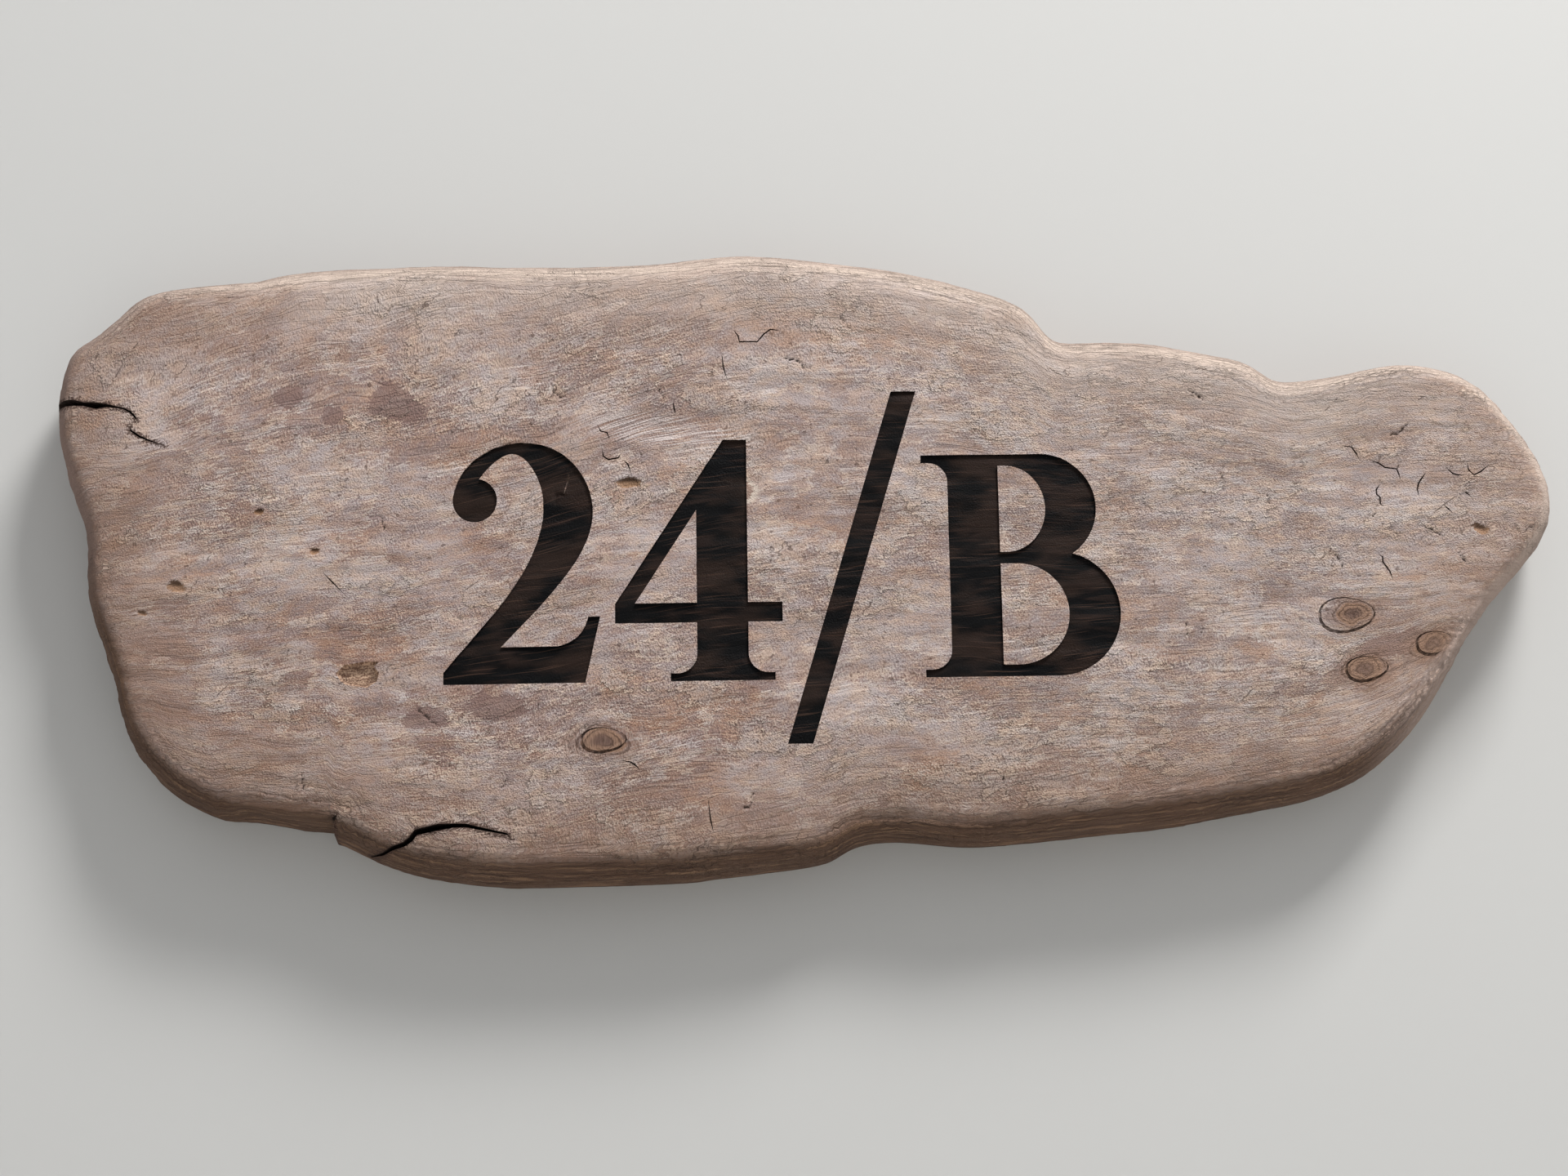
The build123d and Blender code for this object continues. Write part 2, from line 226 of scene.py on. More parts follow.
slab_mesh = bpy.data.meshes.new("weathered_slab")
slab.to_mesh(slab_mesh)
slab.free()
plaque = bpy.data.objects.new("weathered_slab", slab_mesh)
bpy.context.scene.collection.objects.link(plaque)

# What each vertex carries for the relief and the colours, in millimetres. What belongs to the face ends at
# face_reach below it, and the holes for the wall pins are told apart from the outline and the cracks.
face_reach = 2.5
front_margin = 1
pin_along = 120
pin_up = 40
pin_clearance = 6
rim_tolerance = 0.01
far_off = 9
places = np.empty(len(slab_mesh.vertices) * 3)
slab_mesh.vertices.foreach_get("co", places)
along, deep, up = 1000 * places.reshape(-1, 3).T
depth = deep - 1000 * face_level
on_face = np.clip(face_reach - depth, 0, 1)
in_front = deep < 1000 * widest_level + front_margin


def keep(name, values):
    """Stores one number at each vertex of the slab."""
    slab_mesh.attributes.new(name, "FLOAT", "POINT").data.foreach_set("value", values)


def keep_near(name, distances, region):
    """Stores distances at the vertices of a region, and a long one at all others."""
    keep(name, np.where(region, distances, far_off))


clear_of_pins = np.hypot(np.abs(along) - pin_along, up - pin_up) > pin_clearance
on_rim = (np.abs(deep - 1000 * widest_level) < rim_tolerance) & clear_of_pins
rim_points = np.column_stack((along[on_rim], up[on_rim]))


def gap_to(points):
    """Distance of each vertex from the nearest of some points, seen from the front."""
    tree = KDTree(len(points))
    for index, (x, z) in enumerate(points):
        tree.insert((x, 0, z), index)
    tree.balance()
    return np.array([tree.find((x, 0, z))[2] for x, z in zip(along, up)])


# Contour counts down from the outline to the back, loose is where the worn edge may be rounded, and turned
# goes from 0 on the face to 1 where the worn edge stands upright.
loose_width = 18
loose_fade = 6
back_fade = 2
worn_width = 15
worn_fade = 4
rim_gap = gap_to(rim_points)
keep("contour", rim_gap - depth)
loose = np.clip((loose_width - rim_gap) / loose_fade, 0, 1) * np.clip(-deep / back_fade, 0, 1)
keep("loose", loose * (1 - np.array(cut_away)))
rounding_depth = 1000 * (widest_level - face_level)
in_worn = np.clip((worn_width - rim_gap) / worn_fade, 0, 1)
keep("turned", np.sqrt(1 - np.clip(1 - depth / rounding_depth, 0, 1) ** 2) * in_worn)

# Which way the edge faces at each vertex, as seen from a line along the slab's middle that stops short of its
# ends by half the slab's height
core_half = 500 * (slab_high.x - slab_low.x - slab_high.z + slab_low.z)
from_core = along - np.clip(along, -core_half, core_half)
core_gap = np.maximum(np.hypot(from_core, up), 1e-6)
facing_up = up / core_gap
facing_right = from_core / core_gap
keep("facing_up", facing_up)
keep("facing_right", facing_right)
rim_facing = np.column_stack((facing_right[on_rim], facing_up[on_rim]))

# The fibres, as the level that each one runs at. They climb to the right in the left half, follow the outline
# near the top and the bottom, part at a knot, and go on round the worn edge as if it were unrolled.
climb = 0.12
climb_run = 80
climb_middle = 15
climb_spread = 90
straight_half = 195
end_height = 30
parting = 0.7
parting_reach = 1.7
unrolled_width = 30
climbing = np.clip(-along / climb_run, 0, 1) * np.exp(-(((up - climb_middle) / climb_spread) ** 2))
fibre_level = up - climb * along * climbing
for half in (1, -1):
    long_rim = (half * rim_points[:, 1] > end_height) & (np.abs(rim_points[:, 0]) < straight_half)
    half_rim = rim_points[long_rim]
    half_rim = half_rim[np.argsort(half_rim[:, 0])]
    rim = np.interp(along, half_rim[:, 0], half_rim[:, 1])
    share = np.clip(half * up / np.abs(rim), 0, 1)
    fibre_level -= share**2 * (rim - half_rim[:, 1].mean())
for knot in knots:
    parted = np.exp(-((mark_reach(along, up, knot) / parting_reach) ** 2))
    fibre_level -= parting * (up - knot[1]) * parted
unrolled = depth * np.clip(1 - rim_gap / unrolled_width, 0, 1)
keep("fibre_level", fibre_level + facing_up * unrolled)
keep("fibre_place", along + facing_right * unrolled)


def reaches(marks):
    """How far each vertex is from each mark of a list with wavy rims, one row for each mark."""
    return np.array([uneven_reach(along, up, mark, order) for order, mark in enumerate(marks)])


# How far each vertex is from the marks. Checks waver as they run, and pits know which of their sides is up,
# where their painted shade goes.
waver = 0.25
wavering = along + waver * np.sin(2.7 * up), up + waver * np.sin(3.1 * along)
check_gap = np.min([line_gap(*wavering, line) for line in checks], axis=0)
in_crack = np.array(cracked) & clear_of_pins
pit_reaches = reaches(pits)
pit_reach = pit_reaches.min(axis=0)
nearest_pit = np.array(pits)[pit_reaches.argmin(axis=0)]
keep_near("knot_reach", reaches(knots).min(axis=0), on_face > 0)
keep_near("check_gap", check_gap, on_face > 0)
keep_near("pit_reach", pit_reach, on_face > 0)
keep("pit_rise", np.clip(2 * (up - nearest_pit[:, 1]) / nearest_pit[:, 3], -1.5, 1.5))
keep_near("crack_gap", gap_to(np.column_stack((along[in_crack], up[in_crack]))), in_front)
keep_near("pale_reach", np.min([mark_reach(along, up, mark) for mark in pale_knots], axis=0), in_front)
keep_near("stain_reach", reaches(stains).min(axis=0), in_front)
keep_near("scratch_reach", mark_reach(along, up, scratches), in_front)

# Checks and pits are sunk into the face, with sloping sides, and dips are broad and shallow
check_sink = 0.5
check_half = 0.4
check_rim = 1.2
pit_slope = 1.1
pit_rim = 1.1
pit_side = 0.6
lift = -check_sink * np.clip(check_rim - check_gap / check_half, 0, 1)
lift -= pit_slope * np.clip(pit_rim - pit_reach, 0, pit_side)
for dip in dips:
    lift -= dip[5] * np.exp(-(mark_reach(along, up, dip) ** 2))
keep("lift", lift * on_face)


def add(tree, kind, inputs=None, **settings):
    """Adds a node to a tree, sets its properties and feeds its inputs with values or with other sockets."""
    node = tree.nodes.new(kind)
    for name, value in settings.items():
        setattr(node, name, value)
    for name, value in (inputs or {}).items():
        if isinstance(value, bpy.types.NodeSocket):
            tree.links.new(value, node.inputs[name])
        else:
            node.inputs[name].default_value = value
    return node


def math(tree, operation, *values):
    """What an operation gives for numbers or sockets, worked out in a tree."""
    return add(tree, "ShaderNodeMath", dict(enumerate(values)), operation=operation).outputs[0]


def ramp(tree, value, low, high, start=0.0, end=1.0):
    """A value that goes smoothly from start to end while the one given goes from low to high."""
    inputs = {"Value": value, "From Min": low, "From Max": high, "To Min": start, "To Max": end}
    return add(tree, "ShaderNodeMapRange", inputs, interpolation_type="SMOOTHSTEP").outputs["Result"]


# Relief of the worn grain: slow swells of the face, ripples between the growth rings and raised fibres. It
# stands on the face and the worn edge, and dies out towards the flat back. The same tree rounds the edge and
# stores where the wood is brown, bleached, reddened, flaked, rough or charred. Lengths are in metres.
relief = bpy.data.node_groups.new("worn_relief", "GeometryNodeTree")
relief.is_modifier = True
relief.interface.new_socket("Geometry", in_out="INPUT", socket_type="NodeSocketGeometry")
relief.interface.new_socket("Geometry", in_out="OUTPUT", socket_type="NodeSocketGeometry")
relief_sizes = {
    "Swell Height": 0.0016, "Swell Length": 0.08, "Swell Width": 0.035,
    "Ripple Height": 0.0013, "Ripple Length": 0.03, "Ripple Width": 0.006,
    "Fibre Height": 0.0005, "Fibre Length": 0.009, "Fibre Width": 0.0028,
    "Sway Height": 0.012, "Sway Length": 0.07, "Sway Width": 0.03,
    "Brown Length": 0.042, "Brown Width": 0.022,
    "Bleached Length": 0.026, "Bleached Width": 0.012,
    "Reddened Length": 0.036, "Reddened Width": 0.018,
    "Flaked Length": 0.015, "Flaked Width": 0.0085,
    "Rough Length": 0.045, "Rough Width": 0.02,
    "Charred Length": 0.024, "Charred Width": 0.011,
}
identifiers = {}
for name in relief_sizes:
    socket = relief.interface.new_socket(name, in_out="INPUT", socket_type="NodeSocketFloat")
    identifiers[name] = socket.identifier
other_inputs = {"Rounding": "NodeSocketInt", "Seed": "NodeSocketInt", "Wood": "NodeSocketMaterial"}
for name, kind in other_inputs.items():
    identifiers[name] = relief.interface.new_socket(name, in_out="INPUT", socket_type=kind).identifier
given = add(relief, "NodeGroupInput").outputs
position = add(relief, "GeometryNodeInputPosition").outputs[0]


def vertex_value(name):
    """A number that the slab carries at its vertices."""
    inputs = {"Name": name}
    return add(relief, "GeometryNodeInputNamedAttribute", inputs, data_type="FLOAT").outputs["Attribute"]


rounded_place = add(
    relief, "GeometryNodeBlurAttribute",
    {"Value": position, "Iterations": given["Rounding"], "Weight": vertex_value("loose")},
    data_type="FLOAT_VECTOR",
).outputs[0]
rounded = add(
    relief, "GeometryNodeSetPosition", {"Geometry": given["Geometry"], "Position": rounded_place},
).outputs[0]
place = add(relief, "ShaderNodeSeparateXYZ", {0: position}).outputs
fibre_along = math(relief, "DIVIDE", vertex_value("fibre_place"), 1000.0)
level = math(relief, "DIVIDE", vertex_value("fibre_level"), 1000.0)


def grain_noise(layer, detail, number):
    """Noise between 0 and 1 with patches as long and wide as the layer's sizes, its own for each number."""
    number_step = 3.7
    far_along = math(relief, "DIVIDE", fibre_along, given[f"{layer} Length"])
    far_across = math(relief, "DIVIDE", level, given[f"{layer} Width"])
    own = math(relief, "ADD", given["Seed"], number_step * number)
    drawn = add(relief, "ShaderNodeCombineXYZ", {"X": far_along, "Y": far_across, "Z": own}).outputs[0]
    inputs = {"Vector": drawn, "Scale": 1.0, "Detail": detail, "Roughness": 0.6}
    return add(relief, "ShaderNodeTexNoise", inputs).outputs[0]


def grain_height(layer, detail, number):
    """Height of a layer of relief, up to half its size above and below the mean."""
    above = math(relief, "SUBTRACT", grain_noise(layer, detail, number), 0.5)
    return math(relief, "MULTIPLY", above, given[f"{layer} Height"])


def stored(geometry, name, value, kind="FLOAT"):
    """Geometry that carries a value at each vertex under a name."""
    inputs = {"Geometry": geometry, "Name": name, "Value": value}
    return add(relief, "GeometryNodeStoreNamedAttribute", inputs, data_type=kind, domain="POINT").outputs[0]


# The relief lifts the face forwards and the worn edge outwards, and turns from one to the other between two
# depths below the face
edge_start = 0.0005
edge_end = 0.007
ripples = math(relief, "ADD", grain_height("Ripple", 2.0, 1), grain_height("Fibre", 2.0, 2))
height = math(relief, "ADD", grain_height("Swell", 1.0, 3), ripples)
height = math(relief, "ADD", height, math(relief, "DIVIDE", vertex_value("lift"), 1000.0))
height = math(relief, "MULTIPLY", height, ramp(relief, place["Y"], 0.5 * widest_level, widest_level))
sideways = add(
    relief, "ShaderNodeCombineXYZ", {"X": vertex_value("facing_right"), "Z": vertex_value("facing_up")},
).outputs[0]
on_edge = ramp(relief, place["Y"], face_level + edge_start, face_level + edge_end)
heading = add(
    relief, "ShaderNodeMix", {"Factor": on_edge, 4: (0, -1, 0), 5: sideways}, data_type="VECTOR",
).outputs[1]
offset = add(relief, "ShaderNodeVectorMath", {0: heading, "Scale": height}, operation="SCALE").outputs[0]
swayed = math(relief, "ADD", level, grain_height("Sway", 2.0, 4))
grain_place = add(relief, "ShaderNodeCombineXYZ", {"X": fibre_along, "Y": swayed}).outputs[0]
carried = stored(rounded, "grain", grain_place, "FLOAT_VECTOR")
# The ripple heights are kept for the painted shade in the hollows
carried = stored(carried, "hollow", ripples)
patches = {"Brown": 4.0, "Bleached": 4.0, "Reddened": 4.0, "Flaked": 3.0, "Rough": 3.0, "Charred": 3.0}
for number, (layer, detail) in enumerate(patches.items(), start=5):
    carried = stored(carried, layer.lower(), grain_noise(layer, detail, number))
moved = add(relief, "GeometryNodeSetPosition", {"Geometry": carried, "Offset": offset}).outputs[0]
real = add(relief, "GeometryNodeRealizeInstances", {"Geometry": moved}).outputs[0]
dressed = add(relief, "GeometryNodeSetMaterial", {"Geometry": real, "Material": given["Wood"]}).outputs[0]
add(relief, "NodeGroupOutput", {"Geometry": dressed})


def tone(red, green, blue):
    """A colour given as it looks on a screen, from 0 to 255, as the linear colour that a shader takes."""
    shares = [channel / 255 for channel in (red, green, blue)]
    linear = [share / 12.92 if share <= 0.04045 else ((share + 0.055) / 1.055) ** 2.4 for share in shares]
    return (*linear, 1.0)


# Bleached wood: brown, red-brown and bleached patches with ragged rims, a fine grit, pale torn fibres, dark
# flecks, knots, stains and checks, with the burnt strokes almost black. Its patches are in millimetres.
wood = bpy.data.materials.new("bleached_driftwood")
wood.use_nodes = True
wood.node_tree.nodes.clear()
tree = wood.node_tree


def carried_value(name):
    """A number that the slab carries at its vertices or faces."""
    return add(tree, "ShaderNodeAttribute", attribute_name=name).outputs["Fac"]


def noise_at(vector, detail):
    """Flat noise between 0 and 1 at a place that is already stretched to its patches."""
    inputs = {"Vector": vector, "Scale": 1.0, "Detail": detail, "Roughness": 0.6}
    return add(tree, "ShaderNodeTexNoise", inputs, noise_dimensions="2D").outputs[0]


def mottle(length, width, detail, seed, climb=0.0):
    """Noise with patches of a length along the grain and a width across it, climbing by some degrees."""
    stretch = {
        "Vector": grain, "Location": (seed, seed, 0), "Rotation": (0, 0, radians(climb)),
        "Scale": (length / 1000, width / 1000, 1),
    }
    return noise_at(add(tree, "ShaderNodeMapping", stretch, vector_type="TEXTURE").outputs[0], detail)


def blend(factor, first, second):
    """Colour blended from the first to the second by a factor."""
    return add(tree, "ShaderNodeMix", {"Factor": factor, 6: first, 7: second}, data_type="RGBA").outputs[2]


def times(*values):
    """Product of numbers or sockets."""
    product = values[0]
    for value in values[1:]:
        product = math(tree, "MULTIPLY", product, value)
    return product


# Marks of the grain at every size, each with its length, width, detail, seed and climb
grain = add(tree, "ShaderNodeAttribute", attribute_name="grain").outputs["Vector"]
axes = add(tree, "ShaderNodeSeparateXYZ", {0: add(tree, "ShaderNodeTexCoord").outputs["Object"]}).outputs
grit = mottle(0.54, 0.5, 1.0, 0.5, 20)
strokes = mottle(4.0, 0.55, 1.0, 1.1, 9)
threads = mottle(24, 0.5, 1.0, 1.9, 3)
streaks = mottle(16, 1.9, 1.0, 2.7)
flecks = mottle(2.0, 1.2, 0.0, 3.3)
ridges = mottle(36, 2.4, 1.0, 4.1, 2)
rough = ramp(tree, carried_value("rough"), 0.38, 0.6, 0.5, 1.0)
ragged = math(tree, "SUBTRACT", math(tree, "ADD", grit, strokes), 1.0)


def ragged_value(name, share):
    """A carried number with its patches' rims made ragged by the grit and the fibres."""
    return math(tree, "ADD", carried_value(name), times(ragged, share))


# Patches: brown or grey wood, reddened and bleached stretches, and thin flakes that stand up or are gone
bleached = ragged_value("bleached", 0.16)
flaked = ragged_value("flaked", 0.16)
colour = blend(ramp(tree, ragged_value("brown", 0.15), 0.42, 0.56), tone(145, 118, 109), tone(171, 150, 144))
colour = blend(ramp(tree, ragged_value("reddened", 0.15), 0.52, 0.6, 0.0, 0.75), colour, tone(158, 122, 103))
colour = blend(ramp(tree, bleached, 0.53, 0.6, 0.0, 0.65), colour, tone(189, 171, 166))
colour = blend(ramp(tree, flaked, 0.545, 0.575, 0.0, 0.42), colour, tone(190, 169, 157))
colour = blend(ramp(tree, flaked, 0.455, 0.415, 0.0, 0.5), colour, tone(128, 101, 95))

# Pale lips on the rims of bleached patches, and on the flakes a painted highlight along the rim and painted
# shade at the foot
bleached_step = ragged_value("bleached", 0.06)
bleached_lip = times(ramp(tree, bleached_step, 0.516, 0.524), ramp(tree, bleached_step, 0.544, 0.534))
colour = blend(times(bleached_lip, 0.5), colour, tone(216, 198, 184))
flake_step = ragged_value("flaked", 0.06)
flake_foot_shade = times(ramp(tree, flake_step, 0.526, 0.534), ramp(tree, flake_step, 0.55, 0.542))
in_flakes = ramp(tree, carried_value("rough"), 0.47, 0.58)
colour = blend(times(flake_foot_shade, in_flakes, 0.34), colour, tone(100, 77, 68))
flake_rim_highlight = times(ramp(tree, flake_step, 0.545, 0.553), ramp(tree, flake_step, 0.57, 0.56))
colour = blend(times(flake_rim_highlight, in_flakes, 0.55), colour, tone(216, 195, 178))

# Ridges of late wood, with a dark line and a pale top that is a painted highlight, in brown wood and along
# the two long edges
ridge_gap = math(tree, "ABSOLUTE", math(tree, "SUBTRACT", ridges, 0.5))
contour = carried_value("contour")
facing_up = carried_value("facing_up")
facing_right = carried_value("facing_right")
long_side = ramp(tree, math(tree, "ABSOLUTE", facing_up), 0.4, 0.85)
by_edge = times(ramp(tree, contour, 36.0, 16.0), long_side)
in_ridges = math(tree, "MAXIMUM", ramp(tree, carried_value("brown"), 0.56, 0.44), by_edge)
ridge_line = times(ramp(tree, ridge_gap, 0.04, 0.01), in_ridges)
colour = blend(times(ridge_line, 0.28), colour, tone(104, 80, 70))
ridge_highlight = times(ramp(tree, ridges, 0.535, 0.555), ramp(tree, ridges, 0.6, 0.575), in_ridges)
colour = blend(times(ridge_highlight, 0.3), colour, tone(206, 186, 172))

# The face is paler at the top and greyer on the right, darker in streaks, and darker in the hollows of the
# ripples as painted shade
colour = blend(ramp(tree, axes["Z"], -0.07, 0.07, 0.0, 0.16), colour, tone(202, 184, 178))
colour = blend(ramp(tree, axes["X"], -0.1, 0.14, 0.0, 0.14), colour, tone(180, 178, 174))
colour = blend(ramp(tree, streaks, 0.56, 0.74, 0.0, 0.2), colour, tone(126, 101, 92))
colour = blend(ramp(tree, carried_value("hollow"), 0.0, -0.0003, 0.0, 0.25), colour, tone(122, 97, 88))

# Grit, torn fibres, long pale threads and dark flecks, then warm and cool spots over them all
colour = blend(times(ramp(tree, grit, 0.52, 0.74, 0.0, 0.46), rough), colour, tone(218, 199, 186))
colour = blend(times(ramp(tree, grit, 0.48, 0.26, 0.0, 0.46), rough), colour, tone(90, 69, 62))
colour = blend(times(ramp(tree, strokes, 0.6, 0.74, 0.0, 0.45), in_flakes), colour, tone(222, 203, 186))
in_threads = ramp(tree, bleached, 0.48, 0.58)
colour = blend(times(ramp(tree, threads, 0.62, 0.7, 0.0, 0.5), in_threads), colour, tone(224, 208, 199))
colour = blend(ramp(tree, flecks, 0.22, 0.14, 0.0, 0.6), colour, tone(84, 64, 56))
cool_tint = (0.94, 1.0, 1.05, 1.0)
warm_tint = (1.03, 0.985, 0.91, 1.0)
tint = blend(ramp(tree, mottle(5.5, 3.0, 2.0, 5.3), 0.3, 0.7), cool_tint, warm_tint)
colour = add(
    tree, "ShaderNodeMix", {"Factor": 1.0, 6: colour, 7: tint}, data_type="RGBA", blend_type="MULTIPLY",
).outputs[2]

# Flat dark stains, and a patch of pale scratches
stain_reach = math(tree, "ADD", ragged_value("stain_reach", 0.4), times(carried_value("flaked"), 1.2))
colour = blend(ramp(tree, stain_reach, 1.75, 1.62, 0.0, 0.75), colour, tone(124, 99, 93))
scratched = times(ramp(tree, carried_value("scratch_reach"), 1.2, 0.5), ramp(tree, threads, 0.44, 0.6), 0.75)
colour = blend(scratched, colour, tone(218, 205, 200))

# Dark knots with a halo, a heart and rings, and a pale knot with a dark middle
knot_reach = ragged_value("knot_reach", 0.12)
ring_wave = math(tree, "SINE", times(knot_reach, 19.0))
ring_shares = ramp(tree, knot_reach, 1.7, 0.9), ramp(tree, streaks, 0.15, 0.45)
rings = times(ramp(tree, ring_wave, 0.2, 0.9), *ring_shares)
colour = blend(ramp(tree, knot_reach, 2.1, 0.9, 0.0, 0.6), colour, tone(126, 98, 84))
knot_heart = blend(ramp(tree, knot_reach, 0.75, 0.2), tone(146, 114, 92), tone(88, 66, 58))
colour = blend(ramp(tree, knot_reach, 1.0, 0.85, 0.0, 0.75), colour, knot_heart)
colour = blend(times(rings, 0.75), colour, tone(76, 56, 46))
pale_reach = ragged_value("pale_reach", 0.2)
pale_wave = ramp(tree, math(tree, "SINE", times(pale_reach, 16.0)), -0.6, 0.8)
pale_rings = blend(pale_wave, tone(148, 122, 108), tone(206, 191, 176))
colour = blend(ramp(tree, pale_reach, 1.15, 0.8, 0.0, 0.8), colour, pale_rings)
colour = blend(ramp(tree, pale_reach, 0.4, 0.2, 0.0, 0.6), colour, tone(128, 98, 80))

# Insect pits with painted shade under their upper rims, and the floor of the chipped pit
pit_reach = ragged_value("pit_reach", 0.5)
pit_rise = carried_value("pit_rise")
colour = blend(ramp(tree, pit_reach, 1.15, 0.8, 0.0, 0.85), colour, tone(150, 114, 84))
pit_shade = times(ramp(tree, pit_reach, 1.2, 0.9), ramp(tree, pit_rise, -0.1, 0.7))
colour = blend(times(pit_shade, 0.85), colour, tone(64, 46, 36))
pit_floor = blend(ramp(tree, ragged, -0.25, 0.25), tone(112, 82, 65), tone(196, 164, 138))
colour = blend(times(carried_value("pitted"), 0.9), colour, pit_floor)

# The face near its rim is browner, with painted shade at the bottom and the left, and painted light at the
# top
colour = blend(ramp(tree, contour, 45.0, 0.0, 0.0, 0.4), colour, tone(160, 129, 108))
by_rim = ramp(tree, contour, 32.0, 6.0)
low_shade = times(by_rim, ramp(tree, facing_up, -0.4, -0.9), ramp(tree, facing_right, 0.6, 0.1))
colour = blend(times(low_shade, 0.28), colour, tone(112, 88, 74))
left_shade = times(by_rim, ramp(tree, facing_right, -0.2, -0.8))
colour = blend(times(left_shade, 0.28), colour, tone(116, 93, 80))
high_light = times(by_rim, ramp(tree, facing_up, 0.4, 0.9), ramp(tree, facing_right, -0.5, -0.1))
colour = blend(times(high_light, 0.28), colour, tone(212, 203, 196))

# The worn edge cuts through the growth rings as thin layers, and its tone carries painted light and shade
layer_place = add(
    tree, "ShaderNodeCombineXYZ", {"X": times(axes["X"], 40.0), "Y": math(tree, "DIVIDE", contour, 1.1)},
).outputs[0]
layers = noise_at(layer_place, 1.0)
turned = math(tree, "ADD", carried_value("turned"), times(ragged, 0.12))
# Painted shade underneath and at the left end, painted light on top and at the right end, over the edge's
# browner colour
end_tone_and_light = blend(ramp(tree, facing_right, -0.2, 0.6), tone(138, 115, 105), tone(178, 157, 146))
to_light = math(tree, "ADD", facing_up, times(facing_right, 0.4))
edge_tone_and_light = blend(ramp(tree, to_light, -0.75, -0.2), tone(90, 66, 51), end_tone_and_light)
top_tone_and_light = blend(ramp(tree, turned, 0.55, 0.95), tone(198, 179, 165), tone(152, 132, 121))
edge_tone_and_light = blend(ramp(tree, to_light, 0.1, 0.85), edge_tone_and_light, top_tone_and_light)
colour = blend(ramp(tree, turned, 0.15, 0.55, 0.0, 0.88), colour, edge_tone_and_light)
near_edge = times(ramp(tree, contour, 17.0, 3.0), long_side)
# Painted light and shade on the layer lines: the dark ones stronger underneath, the pale ones pale on top and
# tan below
dark_layers = times(near_edge, ramp(tree, layers, 0.54, 0.7), ramp(tree, facing_up, -0.4, 0.4, 0.6, 0.36))
colour = blend(dark_layers, colour, tone(74, 56, 46))
pale_layers = times(near_edge, ramp(tree, facing_up, -0.3, 0.3), ramp(tree, layers, 0.45, 0.3, 0.0, 0.35))
colour = blend(pale_layers, colour, tone(208, 189, 172))
under_layers = times(ramp(tree, turned, 0.3, 0.6), ramp(tree, layers, 0.45, 0.3, 0.0, 0.5))
colour = blend(times(under_layers, ramp(tree, facing_up, 0.0, -0.5)), colour, tone(150, 118, 92))

# Fine crazing in the flakes, checks, and cracks with a ragged dark fringe
craze_length = 0.012
craze_width = 0.026
craze_sway = 0.005
craze_shift = times(math(tree, "SUBTRACT", flecks, 0.5), craze_sway)
craze_place = add(tree, "ShaderNodeVectorMath", {0: grain, 1: craze_shift}, operation="ADD").outputs[0]
craze_cells = add(
    tree, "ShaderNodeMapping", {"Vector": craze_place, "Scale": (craze_length, craze_width, 1)},
    vector_type="TEXTURE",
).outputs[0]
craze_gap = add(
    tree, "ShaderNodeTexVoronoi", {"Vector": craze_cells, "Scale": 1.0}, feature="DISTANCE_TO_EDGE",
    voronoi_dimensions="2D",
).outputs["Distance"]
crazed = times(ramp(tree, craze_gap, 0.016, 0.005), ramp(tree, carried_value("flaked"), 0.55, 0.6))
colour = blend(times(crazed, 0.65), colour, tone(64, 48, 41))
check_gap = ragged_value("check_gap", 0.2)
colour = blend(ramp(tree, check_gap, 0.34, 0.12, 0.0, 0.85), colour, tone(50, 38, 32))
crack_gap = ragged_value("crack_gap", 2.2)
colour = blend(ramp(tree, crack_gap, 1.0, 0.2, 0.0, 0.85), colour, tone(72, 53, 45))
# Painted shade on the walls and floors of the cuts, full near the cracks and broken up by the flecks
# elsewhere
cut_wall_shade = math(tree, "MAXIMUM", ramp(tree, crack_gap, 0.8, 0.4), ramp(tree, flecks, 0.36, 0.5, 0.1, 0.65))
colour = blend(times(carried_value("opened"), cut_wall_shade), colour, tone(54, 40, 33))

# Char in the burnt strokes, with brown streaks where the wood shows through
burn = carried_value("burnt")
char = blend(ramp(tree, carried_value("charred"), 0.45, 0.62), tone(6, 6, 7), tone(40, 29, 24))
char = blend(ramp(tree, streaks, 0.52, 0.75, 0.0, 0.5), char, tone(48, 35, 30))
char = blend(ramp(tree, threads, 0.64, 0.74, 0.0, 0.3), char, tone(96, 72, 60))
colour = blend(burn, colour, char)

# Fine roughness of grit, fibres, flakes and layers, which the burning has smoothed
bump_height = 0.0011
surface = math(tree, "ADD", times(grit, rough, 0.46), times(strokes, rough, 0.12))
surface = math(tree, "ADD", surface, times(ramp(tree, flake_step, 0.53, 0.556), in_flakes, 0.3))
surface = math(tree, "SUBTRACT", surface, times(ridge_line, 0.12))
surface = math(tree, "ADD", surface, times(streaks, 0.2))
surface = math(tree, "SUBTRACT", surface, times(near_edge, layers, 0.7))
bump_strength = math(tree, "SUBTRACT", 1.0, times(burn, 0.6))
bump = add(
    tree, "ShaderNodeBump", {"Height": surface, "Distance": bump_height, "Strength": bump_strength},
).outputs["Normal"]
dullness = math(tree, "SUBTRACT", 0.88, times(burn, 0.22))
sheen = math(tree, "SUBTRACT", 0.25, times(burn, 0.15))
shader = add(
    tree, "ShaderNodeBsdfPrincipled",
    {"Base Color": colour, "Roughness": dullness, "Specular IOR Level": sheen, "Normal": bump},
)
add(tree, "ShaderNodeOutputMaterial", {"Surface": shader.outputs[0]})

worn = plaque.modifiers.new("worn_relief", "NODES")
worn.node_group = relief
for name, value in {**relief_sizes, "Rounding": 7, "Seed": 7, "Wood": wood}.items():
    worn[identifiers[name]] = value
shaped = plaque.evaluated_get(bpy.context.evaluated_depsgraph_get())
plaque.data = bpy.data.meshes.new_from_object(shaped)
plaque.modifiers.clear()
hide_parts("driftwood_plaque")
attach(plaque, "root")

